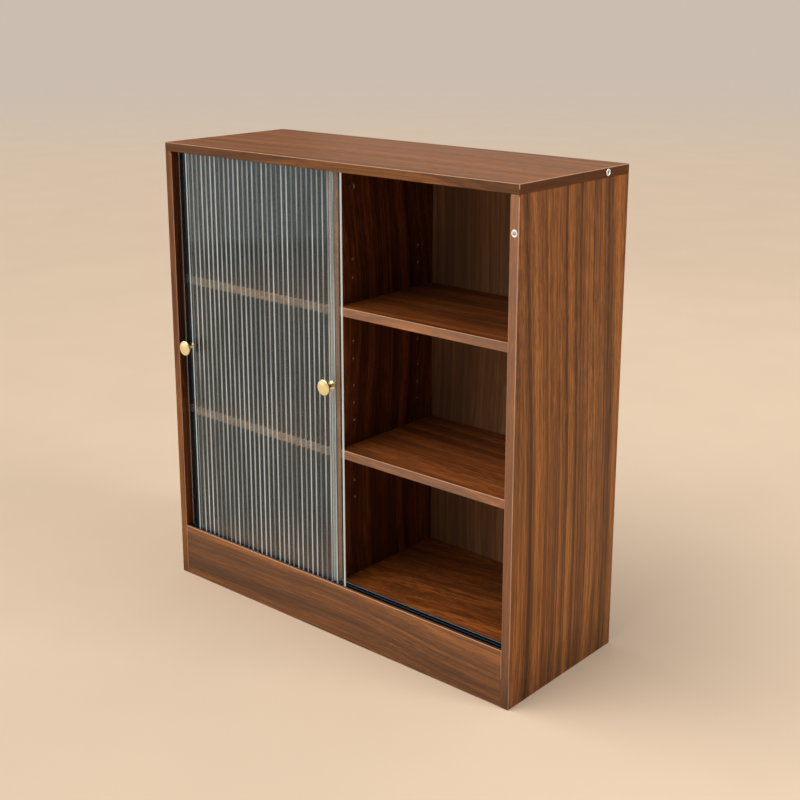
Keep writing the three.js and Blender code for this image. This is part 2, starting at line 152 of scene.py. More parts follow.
def ramp(tree, value, *stops):
    """Colours along a value, from (position, colour) stops."""
    made = add(tree, "ShaderNodeValToRGB", {"Fac": value})
    line = made.color_ramp
    while len(line.elements) < len(stops):
        line.elements.new(1)
    for element, (position, colour) in zip(line.elements, stops):
        element.position = position
        element.color = (*colour, 1)
    return made.outputs["Color"]


def blend(tree, amount, under, over, kind="MIX"):
    """Lays one colour over another by an amount."""
    made = add(tree, "ShaderNodeMix", data_type="RGBA", blend_type=kind)
    for socket, value in ((made.inputs[0], amount), (made.inputs[6], under), (made.inputs[7], over)):
        if isinstance(value, bpy.types.NodeSocket):
            tree.links.new(value, socket)
        elif socket.type == "RGBA":
            socket.default_value = (*value, 1)
        else:
            socket.default_value = value
    return made.outputs[2]


def new_group(name, inputs, outputs):
    """A shader node group with named inputs and outputs. Returns its tree and its input and output nodes."""
    tree = bpy.data.node_groups.new(name, "ShaderNodeTree")
    for direction, sockets in (("INPUT", inputs), ("OUTPUT", outputs)):
        for label, kind, value in sockets:
            made = tree.interface.new_socket(name=label, in_out=direction, socket_type="NodeSocket" + kind)
            if value is not None:
                made.default_value = value
    return tree, tree.nodes.new("NodeGroupInput"), tree.nodes.new("NodeGroupOutput")


def use(tree, group, **inputs):
    """Places a node group in a material. Underscores in input names stand for spaces."""
    made = add(tree, "ShaderNodeGroup", node_tree=group)
    for label, value in inputs.items():
        socket = made.inputs[label.replace("_", " ")]
        if isinstance(value, bpy.types.NodeSocket):
            tree.links.new(value, socket)
        else:
            socket.default_value = value
    return made


def new_material(name, **constants):
    """A material with one Principled shader, whose plain numbers sit on the shader's own sockets."""
    material = bpy.data.materials.new(name)
    material.use_nodes = True
    tree = material.node_tree
    shader = next(n for n in tree.nodes if n.type == "BSDF_PRINCIPLED")
    for label, value in constants.items():
        shader.inputs[label.replace("_", " ")].default_value = value
    return material, tree, shader


def object_place(tree, location=(0, 0, 0), turn=(0, 0, 0)):
    """Object coordinates, moved and turned."""
    source = add(tree, "ShaderNodeTexCoord").outputs["Object"]
    inputs = {"Vector": source, "Location": location, "Rotation": turn}
    return add(tree, "ShaderNodeMapping", inputs).outputs[0]


def bump(tree, shader, height, strength, distance):
    """Fine relief on a shader's surface."""
    made = add(tree, "ShaderNodeBump", {"Height": height, "Strength": strength, "Distance": distance})
    tree.links.new(made.outputs[0], shader.inputs["Normal"])


# ---------------------------------------------------------------- shared effects

COOL_TINT = (0.86, 0.96, 1.35)
THREAD_COLOUR = (0.050, 0.018, 0.006)
PORE_COLOUR = (0.040, 0.014, 0.005)
BORE_DEPTH = 0.0005


def walnut_grain_group():
    """Printed walnut, sawn from a log that lies along x. Bands and fine lines follow its rings, with dark threads
    and short pores over them. Warmth cools patches of it, Sway bends the rings, Streaks darkens the threads."""
    tree, given, result = new_group(
        "walnut_grain",
        [("Place", "Vector", None), ("Warmth", "Float", 0.5), ("Sway", "Float", 1.0), ("Streaks", "Float", 0.0)],
        [("Colour", "Color", None), ("Roughness", "Float", None), ("Height", "Float", None)],
    )
    place = given.outputs["Place"]
    along, across, deep = add(tree, "ShaderNodeSeparateXYZ", {0: place}).outputs[:3]
    lean = spread(tree, noise(tree, place, (1.1, 0.3, 0.3), 1), 0.2, 0.8, -0.05, 0.05)
    drift = spread(tree, noise(tree, place, (1.4, 7.0, 7.0), 2), 0, 1, -0.026, 0.026)
    moved = maths(tree, "MULTIPLY", maths(tree, "ADD", lean, drift), given.outputs["Sway"])
    side = maths(tree, "ADD", across, moved)
    down = maths(tree, "ADD", deep, moved)
    radius = maths(tree, "SQRT", maths(tree, "MULTIPLY_ADD", side, side, maths(tree, "MULTIPLY", down, down)))
    ring = add(tree, "ShaderNodeCombineXYZ", {0: along, 1: radius}).outputs[0]
    bent = add(tree, "ShaderNodeCombineXYZ", {0: along, 1: side, 2: down}).outputs[0]
    bands = noise(tree, ring, (0.30, 36, 0), 3, 0.6)
    lines = noise(tree, ring, (0.6, 170, 0), 3, 0.65)
    streaks = noise(tree, bent, (3, 430, 430), 2, 0.6)
    pores = spread(tree, noise(tree, bent, (26, 640, 640), 2, 0.6), 0.54, 0.66)
    threads = spread(tree, noise(tree, bent, (5, 150, 150), 4, 0.85), 0.46, 0.58)
    tone = maths(tree, "MULTIPLY_ADD", bands, 0.53, maths(tree, "MULTIPLY", lines, 0.23))
    tone = maths(tree, "MULTIPLY_ADD", streaks, 0.24, tone)
    wood = ramp(
        tree, spread(tree, tone, 0.41, 0.57),
        (0.00, (0.058, 0.019, 0.006)),
        (0.25, (0.108, 0.036, 0.008)),
        (0.50, (0.165, 0.054, 0.010)),
        (0.75, (0.235, 0.078, 0.014)),
        (1.00, (0.330, 0.115, 0.022)),
    )
    cool = blend(tree, 1.0, wood, COOL_TINT, "MULTIPLY")
    patches = spread(tree, noise(tree, place, (0.9, 8, 8), 2), 0.42, 0.60)
    mixed = blend(tree, maths(tree, "MULTIPLY", patches, given.outputs["Warmth"]), wood, cool)
    threaded = blend(tree, maths(tree, "MULTIPLY", threads, given.outputs["Streaks"]), mixed, THREAD_COLOUR)
    dark = blend(tree, maths(tree, "MULTIPLY", pores, 0.45), threaded, PORE_COLOUR)
    tree.links.new(dark, result.inputs["Colour"])
    rough = maths(tree, "MULTIPLY_ADD", pores, 0.12, spread(tree, streaks, 0.3, 0.7, 0.36, 0.44))
    tree.links.new(rough, result.inputs["Roughness"])
    relief = maths(tree, "SUBTRACT", maths(tree, "MULTIPLY", streaks, 0.5), pores)
    tree.links.new(relief, result.inputs["Height"])
    return tree


def board_edge_group():
    """Two masks for a board between two corners: its arrises, fading out onto its faces, and the walls of what
    is bored or sawn into it."""
    tree, given, result = new_group(
        "board_edge",
        [("Place", "Vector", None), ("Low", "Vector", None), ("High", "Vector", None), ("Width", "Float", 0.001)],
        [("Arris", "Float", None), ("Bored", "Float", None)],
    )
    place = given.outputs["Place"]
    from_low = vector_maths(tree, "SUBTRACT", place, given.outputs["Low"])
    from_high = vector_maths(tree, "SUBTRACT", given.outputs["High"], place)
    nearest = vector_maths(tree, "MINIMUM", from_low, from_high)
    x, y, z = add(tree, "ShaderNodeSeparateXYZ", {0: nearest}).outputs[:3]
    smaller = maths(tree, "MINIMUM", x, y)
    larger = maths(tree, "MINIMUM", maths(tree, "MAXIMUM", x, y), z)
    second = maths(tree, "MAXIMUM", smaller, larger)
    reach = maths(tree, "DIVIDE", second, given.outputs["Width"])
    mask = spread(tree, reach, 0.45, 1.0, 1, 0, smooth=True)
    uneven = spread(tree, noise(tree, place, (60, 60, 60), 2), 0.3, 0.7, 0.7, 1.0)
    tree.links.new(maths(tree, "MULTIPLY", mask, uneven), result.inputs["Arris"])
    bored = maths(tree, "GREATER_THAN", maths(tree, "MINIMUM", smaller, z), BORE_DEPTH)
    tree.links.new(bored, result.inputs["Bored"])
    return tree


def handling_group():
    """Faint smudges and fine unevenness, for polished faces."""
    tree, given, result = new_group(
        "handling",
        [("Place", "Vector", None), ("Low", "Float", 0.2), ("High", "Float", 0.3)],
        [("Roughness", "Float", None), ("Height", "Float", None)],
    )
    place = given.outputs["Place"]
    cloud = noise(tree, place, (45, 45, 45), 4, 0.6)
    made = add(tree, "ShaderNodeMapRange", {"Value": cloud, "From Min": 0.35, "From Max": 0.65})
    tree.links.new(given.outputs["Low"], made.inputs["To Min"])
    tree.links.new(given.outputs["High"], made.inputs["To Max"])
    tree.links.new(made.outputs[0], result.inputs["Roughness"])
    tree.links.new(noise(tree, place, (700, 700, 700), 2), result.inputs["Height"])
    return tree


WALNUT_GRAIN = walnut_grain_group()
BOARD_EDGE = board_edge_group()
HANDLING = handling_group()


# ---------------------------------------------------------------- walnut boards

# The way the grain runs, as a turn of the log
FLAT_GRAIN = (0, 0, 0)
END_GRAIN = (0, 0, QUARTER_TURN)
UPRIGHT_GRAIN = (0, QUARTER_TURN, 0)

CALM_WALNUT = (0.175, 0.058, 0.012)
EDGE_CALM = {FLAT_GRAIN: 0.1, UPRIGHT_GRAIN: 0.35}
# Painted light added to the front edges
EDGE_LIGHT_COLOUR = (0.085, 0.062, 0.050)
# Painted shade: darkens the inner faces of the uprights
INNER_SHADE_TINT = (0.70, 0.57, 0.64)
END_TINT = (0.55, 0.66, 1.10)
# Painted highlight laid on the arrises that face the light
ARRIS_HIGHLIGHT = (0.56, 0.33, 0.21)
ARRIS_WIDTH = 0.0013
CHIPS_DARK = (0.36, 0.26, 0.16)
CHIPS_PALE = (0.66, 0.54, 0.40)
BACK_TINT = (1.36, 1.95, 4.0)
FIBRE_DARK = (0.15, 0.085, 0.045)
FIBRE_PALE = (0.26, 0.16, 0.09)
FIBRE_ROUGHNESS = 0.75

# Painted shade: the boards darken towards the floor below the first height, and a front edge may be painted darker
# near the floor and lighter up to the fade height
FLOOR_SHADE_HEIGHT = 0.10
FLOOR_SHADE = 0.70
FADE_HEIGHT = 0.70

# How near to a board's outer plane a face counts as lying on it
ON_FACE = 0.0004
UNDER_TOP = 0.003
INNER_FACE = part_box("right_side_panel")[0].x + ON_FACE


def walnut(
    name, grain, shift, edge_light=0, tint=(1, 1, 1), calm=0, streaks=0.2, sway=1.0, shine=0.15, edge_glow=1.0, fade=(1, 1)
):
    """Walnut foil for one board, with painted highlights on its arrises that face the light, a front edge of its
    own, painted shade towards the floor, and chipboard in its bores.

    shift is where its part of the print begins: along, across and below the log's heart. tint recolours a flat
    board's faces and lightens or darkens them as painted light and shade, and darkens an upright's inner faces as
    painted shade. calm evens the print out, streaks draws dark threads on it, sway bends its rings and shine is its
    gloss. glow and lift paint light on the front edge, and fade paints it darker near the floor and lighter higher
    up, as painted shade and light."""
    material, tree, shader = new_material("walnut_" + name, IOR=1.5, Specular_IOR_Level=shine)
    low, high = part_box(name)
    source = add(tree, "ShaderNodeTexCoord").outputs["Object"]
    across, depth, height = add(tree, "ShaderNodeSeparateXYZ", {0: source}).outputs[:3]
    place = object_place(tree, shift, grain)
    if grain == FLAT_GRAIN:
        from_middle = maths(tree, "ABSOLUTE", maths(tree, "SUBTRACT", across, (low.x + high.x) / 2))
        on_end = maths(tree, "GREATER_THAN", from_middle, (high.x - low.x) / 2 - ON_FACE)
        end_place = object_place(tree, shift, END_GRAIN)
        swap = add(tree, "ShaderNodeMix", {0: on_end, 4: place, 5: end_place}, data_type="VECTOR")
        place = swap.outputs[1]
        lit_edges = maths(tree, "GREATER_THAN", height, (low.z + high.z) / 2)
        inside = 1.0
    else:
        on_end = 0.0
        lit_edges = maths(tree, "LESS_THAN", height, high.z - UNDER_TOP)
        inside = maths(tree, "LESS_THAN", maths(tree, "ABSOLUTE", across), INNER_FACE)
    figure = use(tree, WALNUT_GRAIN, Place=place, Warmth=0.5, Sway=sway, Streaks=streaks)
    printed = blend(tree, calm, figure.outputs["Colour"], CALM_WALNUT)
    # Painted shade on an upright's inner faces; on a flat board the tint also lightens or darkens it as painted
    # light and shade
    tinted = blend(tree, inside, printed, tint, "MULTIPLY")
    on_front = maths(tree, "LESS_THAN", depth, low.y + ON_FACE)
    edging = blend(tree, EDGE_CALM[grain], figure.outputs["Colour"], CALM_WALNUT)
    # Painted light: glow and lift brighten the front edge
    glowing = blend(tree, 1.0, edging, (edge_glow, edge_glow, edge_glow), "MULTIPLY")
    bare = blend(tree, on_front, tinted, glowing)
    edge_lightened = blend(tree, on_front, bare, tuple(edge_light * c for c in EDGE_LIGHT_COLOUR), "ADD")
    ended = blend(tree, on_end, edge_lightened, END_TINT, "MULTIPLY")
    edge = use(tree, BOARD_EDGE, Place=source, Low=low, High=high, Width=ARRIS_WIDTH)
    # Painted highlight: the arrises that face the light are lightened
    highlighted = blend(tree, maths(tree, "MULTIPLY", edge.outputs["Arris"], lit_edges), ended, ARRIS_HIGHLIGHT)
    # Painted shade towards the floor, and on front edges painted shade and light from the floor up
    foot = spread(tree, height, 0, FLOOR_SHADE_HEIGHT, FLOOR_SHADE, 1, smooth=True)
    shaded = blend(tree, 1.0, highlighted, foot, "MULTIPLY")
    faded = blend(tree, on_front, shaded, spread(tree, height, 0, FADE_HEIGHT, *fade), "MULTIPLY")
    chips = ramp(tree, noise(tree, source, (900, 900, 900), 3), (0.35, CHIPS_DARK), (0.65, CHIPS_PALE))
    tree.links.new(blend(tree, edge.outputs["Bored"], faded, chips), shader.inputs["Base Color"])
    tree.links.new(figure.outputs["Roughness"], shader.inputs["Roughness"])
    bump(tree, shader, figure.outputs["Height"], 0.25, 0.0002)
    return material


def dress(name, material):
    """Puts a material on a CAD node that keeps its shape."""
    nodes[name].data.materials.clear()
    nodes[name].data.materials.append(material)


def backing(name, shift):
    """A thin back: the walnut print in front, plain brown fibre behind."""
    material, tree, shader = new_material("walnut_" + name, IOR=1.5, Specular_IOR_Level=0.2)
    place = object_place(tree, shift, UPRIGHT_GRAIN)
    figure = use(tree, WALNUT_GRAIN, Place=place, Warmth=0.8, Sway=0.35, Streaks=0.2)
    calmed = blend(tree, 0.45, figure.outputs["Colour"], CALM_WALNUT)
    greyed = blend(tree, 1.0, calmed, BACK_TINT, "MULTIPLY")
    source = add(tree, "ShaderNodeTexCoord").outputs["Object"]
    low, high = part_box(name)
    depth = add(tree, "ShaderNodeSeparateXYZ", {0: source}).outputs[1]
    behind = maths(tree, "GREATER_THAN", depth, (low.y + high.y) / 2)
    fibres = noise(tree, source, (260, 260, 260), 4, 0.7)
    fibre = ramp(tree, fibres, (0.3, FIBRE_DARK), (0.7, FIBRE_PALE))
    tree.links.new(blend(tree, behind, greyed, fibre), shader.inputs["Base Color"])
    rough = maths(tree, "MAXIMUM", figure.outputs["Roughness"], maths(tree, "MULTIPLY", behind, FIBRE_ROUGHNESS))
    tree.links.new(rough, shader.inputs["Roughness"])
    bump(tree, shader, figure.outputs["Height"], 0.2, 0.0002)
    return material


# A flat board's tint recolours its print and also lightens or darkens the board as painted light and shade
FLAT_BOARDS = {
    "top_panel": dict(
        shift=(0.31, 0.26, -0.74), edge_light=0.5, tint=(1.16, 1.10, 1.15), calm=0.50, streaks=0.20, sway=0.6, shine=0.03
    ),
    "bottom_panel": dict(
        shift=(1.70, 0.24, 0.01), edge_light=0.5, tint=(1.25, 1.06, 1.15), calm=0.20, streaks=0.85, sway=0.8, shine=0.12
    ),
    "plinth": dict(shift=(2.90, 0.19, 0.22), edge_light=0.50, calm=0.10, streaks=0.45, sway=0.5),
    "rear_base_rail": dict(shift=(4.40, 0.02, 0.20)),
    "lower_left_shelf": dict(
        shift=(5.10, 0.22, -0.24), edge_light=1.9, tint=(0.92, 0.80, 0.82), calm=0.2, sway=0.8, shine=0.12, edge_glow=2.1
    ),
    "upper_left_shelf": dict(
        shift=(6.30, 0.26, -0.50), edge_light=1.7, tint=(0.92, 0.80, 0.82), calm=0.2, sway=0.8, shine=0.12, edge_glow=1.9
    ),
    "lower_right_shelf": dict(
        shift=(7.20, 0.20, -0.27), edge_light=1.3, tint=(1.28, 1.07, 1.24), calm=0.1, streaks=0.60, sway=0.8, shine=0.12,
        edge_glow=1.6,
    ),
    "upper_right_shelf": dict(
        shift=(8.60, 0.25, -0.52), edge_light=1.45, tint=(1.12, 0.95, 1.06), calm=0.1, streaks=0.60, sway=0.8, shine=0.12,
        edge_glow=1.6,
    ),
}
UPRIGHT_BOARDS = {
    "left_side_panel": dict(shift=(0.20, 0.26, -0.30), edge_light=0.20, tint=INNER_SHADE_TINT, streaks=0.3),
    "right_side_panel": dict(
        shift=(9.35, -0.26, 0.44), edge_light=1.0, tint=INNER_SHADE_TINT, streaks=0.25, sway=0.6, fade=(0.52, 1.33)
    ),
    "divider_panel": dict(shift=(2.35, 0.27, 0.08), edge_light=0.8, tint=INNER_SHADE_TINT, streaks=0.6, edge_glow=1.9),
}
BACKS = {
    "left_back_panel": (3.15, 0.00, 0.55),
    "right_back_panel": (4.55, 0.03, 0.45),
}
for board, look in FLAT_BOARDS.items():
    dress(board, walnut(board, FLAT_GRAIN, **look))
for board, look in UPRIGHT_BOARDS.items():
    dress(board, walnut(board, UPRIGHT_GRAIN, **look))
for board, shift in BACKS.items():
    dress(board, backing(board, shift))


# ---------------------------------------------------------------- other finishes

PATCH_SHADE = 0.86
BRASS_DEEP = (0.95, 0.83, 0.47)
BRASS_PALE = (1.0, 0.94, 0.60)
SHADED_BRASS = (0.46, 0.29, 0.08)
RIM_SHADE = 0.85
NECK_SHADE = 0.6
TRACK_DARK = (0.003, 0.005, 0.007)
TRACK_PALE = (0.006, 0.009, 0.013)
LIP_WIDTH = 0.0006
# Painted highlights on the tops of the track's walls, paler on the rear one
LIP_HIGHLIGHT = (0.07, 0.10, 0.12)
REAR_LIP_HIGHLIGHT = (0.28, 0.36, 0.41)
REAR_LIP_DEPTH = 0.004
GLASS_IOR = 1.5
GLASS_SHEEN = (0.30, 0.41, 0.48, 1)
EDGE_GLOW_GREEN = (0.88, 1.0, 0.92)


def metal(name, colour, low, high, relief):
    """Plain metal between two roughnesses, in slow patches a shade darker."""
    material, tree, shader = new_material(name, Metallic=1.0)
    place = object_place(tree)
    touch = use(tree, HANDLING, Place=place, Low=low, High=high)
    tree.links.new(touch.outputs["Roughness"], shader.inputs["Roughness"])
    cloud = noise(tree, place, (90, 90, 90), 3)
    shade = tuple(PATCH_SHADE * c for c in colour)
    tree.links.new(ramp(tree, cloud, (0.35, shade), (0.65, colour)), shader.inputs["Base Color"])
    bump(tree, shader, touch.outputs["Height"], relief, 0.00003)
    return material


def brass(name, centre):
    """Brass with fine turning lines round the knob's axis, painted darker at the head's rim as a dark reflection
    and on the neck as shade.
    """
    material, tree, shader = new_material(name, Metallic=1.0)
    place = object_place(tree, (-centre.x, -centre.y, -centre.z))
    x, y, z = add(tree, "ShaderNodeSeparateXYZ", {0: place}).outputs[:3]
    radius = maths(tree, "SQRT", maths(tree, "ADD", maths(tree, "MULTIPLY", x, x), maths(tree, "MULTIPLY", z, z)))
    across = add(tree, "ShaderNodeCombineXYZ", {0: radius, 1: y}).outputs[0]
    turning = noise(tree, across, (5200, 5200, 0), 2, 0.6)
    touch = use(tree, HANDLING, Place=place, Low=0.17, High=0.23)
    tree.links.new(touch.outputs["Roughness"], shader.inputs["Roughness"])
    tint = ramp(tree, turning, (0.3, BRASS_DEEP), (0.7, BRASS_PALE))
    # Painted reflection and shade: the head's rim and the neck behind it are darkened
    rim = spread(tree, radius, KNOB_HEAD - KNOB_BEVEL, KNOB_HEAD - 0.0001, 0, RIM_SHADE, smooth=True)
    behind_head = maths(tree, "GREATER_THAN", y, -KNOB_BACK)
    neck = maths(tree, "MULTIPLY", behind_head, maths(tree, "LESS_THAN", y, -ROSE_FRONT))
    painted_shade = maths(tree, "MAXIMUM", rim, maths(tree, "MULTIPLY", neck, NECK_SHADE))
    tree.links.new(blend(tree, painted_shade, tint, SHADED_BRASS), shader.inputs["Base Color"])
    bump(tree, shader, turning, 0.12, 0.00003)
    return material


def track_plastic():
    """Black plastic drawn lengthwise, with a thin blue-grey painted highlight on the top of each wall."""
    material, tree, shader = new_material("track_black", IOR=1.46, Specular_IOR_Level=0.08)
    place = object_place(tree)
    drawn = noise(tree, place, (6, 900, 900), 3)
    tone = ramp(tree, drawn, (0.3, TRACK_DARK), (0.7, TRACK_PALE))
    _, depth, height = add(tree, "ShaderNodeSeparateXYZ", {0: place}).outputs[:3]
    low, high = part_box("lower_track")
    from_wall = maths(tree, "MODULO", maths(tree, "SUBTRACT", depth, low.y - 0.0002), TRACK_PITCH)
    on_lip = maths(tree, "LESS_THAN", from_wall, LIP_WIDTH)
    # Painted highlight on the top of each wall
    highlighted = maths(tree, "MULTIPLY", on_lip, maths(tree, "COMPARE", height, high.z, 0.0005))
    rear = maths(tree, "GREATER_THAN", depth, high.y - REAR_LIP_DEPTH)
    lip = blend(tree, rear, LIP_HIGHLIGHT, REAR_LIP_HIGHLIGHT)
    tree.links.new(blend(tree, highlighted, tone, lip), shader.inputs["Base Color"])
    tree.links.new(spread(tree, drawn, 0.3, 0.7, 0.28, 0.38), shader.inputs["Roughness"])
    bump(tree, shader, drawn, 0.1, 0.00005)
    return material


def beech():
    """Pale beech with fine flecks, for the dowels."""
    material, tree, shader = new_material("dowel_beech", IOR=1.45)
    flecks = noise(tree, object_place(tree), (600, 600, 600), 3)
    tone = ramp(tree, flecks, (0.3, (0.50, 0.33, 0.18)), (0.7, (0.66, 0.47, 0.28)))
    tree.links.new(tone, shader.inputs["Base Color"])
    tree.links.new(spread(tree, flecks, 0.3, 0.7, 0.6, 0.75), shader.inputs["Roughness"])
    return material


def let_light_through(tree, shader, share):
    """Lets a share of the lamps' and the room's light pass, so that what stands behind the glass is lit."""
    path = add(tree, "ShaderNodeLightPath")
    lighting = maths(tree, "MAXIMUM", path.outputs["Is Shadow Ray"], path.outputs["Is Diffuse Ray"])
    tree.links.new(maths(tree, "MULTIPLY_ADD", lighting, -share, 1), shader.inputs["Alpha"])


def clear_glass(name, low, high, dim=(0.60, 0.74, 0.83), bright=(0.68, 0.81, 0.89), transmission=1.0):
    """Clear glass between two roughnesses and two tints."""
    material, tree, shader = new_material(
        name, Metallic=0.0, Transmission_Weight=transmission, IOR=GLASS_IOR, Specular_Tint=GLASS_SHEEN
    )
    cloud = noise(tree, object_place(tree), (14, 14, 2.5), 2)
    tree.links.new(ramp(tree, cloud, (0.35, dim), (0.65, bright)), shader.inputs["Base Color"])
    tree.links.new(spread(tree, cloud, 0.3, 0.7, low, high), shader.inputs["Roughness"])
    let_light_through(tree, shader, 1.0)
    return material


def highlight_strip_glass(name, transmission, dim, bright):
    """The pressed valley between two flutes, paler as a painted highlight along the flute, and uneven from flute to
    flute and down its length."""
    material, tree, shader = new_material(name, Metallic=0.0, Transmission_Weight=transmission, IOR=GLASS_IOR)
    uneven = noise(tree, object_place(tree), (57, 0, 2.2), 2, 0.7)
    tree.links.new(ramp(tree, uneven, (0.40, dim), (0.58, bright)), shader.inputs["Base Color"])
    tree.links.new(spread(tree, uneven, 0.3, 0.7, 0.30, 0.40), shader.inputs["Roughness"])
    let_light_through(tree, shader, 0.85)
    return material


def glass_edge(name, edge_glow):
    """The ground edge of a pane, pale green, with a painted glow that stands for the light running out of the pane
    along it.
    """
    material, tree, shader = new_material(
        name, Metallic=0.0, Transmission_Weight=0.1, IOR=GLASS_IOR,
        Emission_Color=(*(edge_glow * c for c in EDGE_GLOW_GREEN), 1), Emission_Strength=1.0,
    )
    ground = noise(tree, object_place(tree), (900, 900, 900), 3)
    pale = ramp(tree, ground, (0.3, (0.88, 0.97, 0.95)), (0.7, (0.94, 1.0, 1.0)))
    tree.links.new(pale, shader.inputs["Base Color"])
    tree.links.new(spread(tree, ground, 0.3, 0.7, 0.22, 0.34), shader.inputs["Roughness"])
    return material


ZINC = metal("zinc", (0.80, 0.81, 0.82), 0.26, 0.36, 0.15)
BRIGHT_ZINC = metal("bright_zinc", (0.93, 0.96, 1.0), 0.30, 0.38, 0.1)
DULL_ZINC = metal("dull_zinc", (0.34, 0.29, 0.22), 0.42, 0.52, 0.15)
TRACK = track_plastic()
BEECH = beech()
# The pressed front is a little satin, the back smooth, and the rear pane's left end dark blue against the side as
# painted shade
GLASS = clear_glass("fluted_glass", 0.055, 0.065)
GLASS_BACK = clear_glass("smooth_glass", 0.010, 0.015)
GLASS_EDGES = {"left": glass_edge("rear_glass_edge", 0.03), "right": glass_edge("front_glass_edge", 0.30)}
END_SHADE_GLASS = clear_glass("shaded_land_glass", 0.02, 0.03, (0.04, 0.16, 0.34), (0.05, 0.20, 0.40), 0.97)
# The painted highlights on the valleys and shoulders of the rear pane are clearer than those of the front one
STRIPS = {
    "left": (
        highlight_strip_glass("rear_flute_valley", 0.75, (0.20, 0.23, 0.25), (0.90, 0.94, 1.0)),
        highlight_strip_glass("rear_flute_shoulder", 0.97, (0.46, 0.52, 0.56), (0.70, 0.77, 0.80)),
    ),
    "right": (
        highlight_strip_glass("flute_valley", 0.25, (0.20, 0.23, 0.26), (0.88, 0.95, 1.0)),
        highlight_strip_glass("flute_shoulder", 0.9, (0.40, 0.46, 0.50), (0.66, 0.73, 0.76)),
    ),
}

for track in ("lower_track", "upper_track"):
    dress(track, TRACK)
for name in nodes:
    if name.endswith("_dowel"):
        dress(name, BEECH)
    elif name.endswith("_cam_bolt"):
        dress(name, ZINC)


# ---------------------------------------------------------------- mesh helpers

def finish_piece(mesh_tool, name, materials, body, replaced, sharp=30):
    """Turns a bmesh into a piece: outward faces, smooth but for its sharp edges, riding on a body in place of a
    CAD node, with its materials."""
    bmesh.ops.remove_doubles(mesh_tool, verts=mesh_tool.verts, dist=1e-7)
    bmesh.ops.recalc_face_normals(mesh_tool, faces=mesh_tool.faces)
    for face in mesh_tool.faces:
        face.smooth = True
    limit = math.radians(sharp)
    for edge in mesh_tool.edges:
        edge.smooth = len(edge.link_faces) == 2 and edge.calc_face_angle() < limit
    mesh = bpy.data.meshes.new(name)
    mesh_tool.to_mesh(mesh)
    mesh_tool.free()
    for material in materials:
        mesh.materials.append(material)
    piece = bpy.data.objects.new(name, mesh)
    scene.collection.objects.link(piece)
    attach(piece, body)
    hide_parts(replaced)


def turned(outline, steps=64):
    """A form turned about the Y axis from (radius, height) points. Its height runs towards -Y."""
    made = bmesh.new()
    points = [made.verts.new((radius, -height, 0)) for radius, height in outline]
    lines = [made.edges.new(pair) for pair in zip(points, points[1:])]
    bmesh.ops.spin(
        made, geom=points + lines, cent=(0, 0, 0), axis=(0, 1, 0), angle=FULL_TURN, steps=steps, use_merge=True
    )
    bmesh.ops.remove_doubles(made, verts=made.verts, dist=1e-6)
    bmesh.ops.recalc_face_normals(made, faces=made.faces)
    return made


def put(made, at, turn=(0, 0, 0)):
    """Turns a bmesh about the origin and moves it to its place."""
    matrix = Matrix.Translation(at) @ Euler(turn).to_matrix().to_4x4()
    bmesh.ops.transform(made, matrix=matrix, verts=made.verts)
    return made


def cut(made, cutters):
    """A bmesh with other closed bmeshes cut out of it."""
    meshes = []
    for index, tool in enumerate([made, *cutters]):
        mesh = bpy.data.meshes.new(f"blank_{index}")
        tool.to_mesh(mesh)
        tool.free()
        meshes.append(mesh)
    objects = [bpy.data.objects.new(mesh.name, mesh) for mesh in meshes]
    for blank in objects:
        scene.collection.objects.link(blank)
    for tool in objects[1:]:
        change = objects[0].modifiers.new("cut", "BOOLEAN")
        change.operation = "DIFFERENCE"
        change.solver = "EXACT"
        change.object = tool
    evaluated = objects[0].evaluated_get(bpy.context.evaluated_depsgraph_get())
    result = bmesh.new()
    result.from_mesh(evaluated.to_mesh())
    evaluated.to_mesh_clear()
    for blank in objects:
        bpy.data.objects.remove(blank)
    for mesh in meshes:
        bpy.data.meshes.remove(mesh)
    return result


def slab(size, at):
    """A plain block about a point."""
    made = bmesh.new()
    bmesh.ops.create_cube(made, size=1)
    bmesh.ops.scale(made, verts=made.verts, vec=size)
    bmesh.ops.translate(made, verts=made.verts, vec=at)
    return made


def cross(length, width, depth, y):
    """Two slabs that cross on the Y axis, for a cross recess."""
    return [slab((length, depth, width), (0, y, 0)), slab((width, depth, length), (0, y, 0))]


def curve(start, start_pull, end_pull, end, count):
    """Points of a smooth curve between two (radius, height) points."""
    corners = [Vector((radius, height, 0)) for radius, height in (start, start_pull, end_pull, end)]
    return [(point.x, point.y) for point in interpolate_bezier(*corners, count)]


# ---------------------------------------------------------------- panes

# Places of a pane's finishes in its list of materials
FRONT_GLASS, GROUND, VALLEY, SHOULDER, BACK_GLASS, END_SHADE = range(6)
# How far from each end a pane's flutes have no paler valleys
CLEAR_WIDTHS = {"left": (0.0265, 0.0020), "right": (0.0020, 0.0102)}
DRILL_REACH = 0.01
# Points this near to each other are one point
TOUCHING = 1e-5


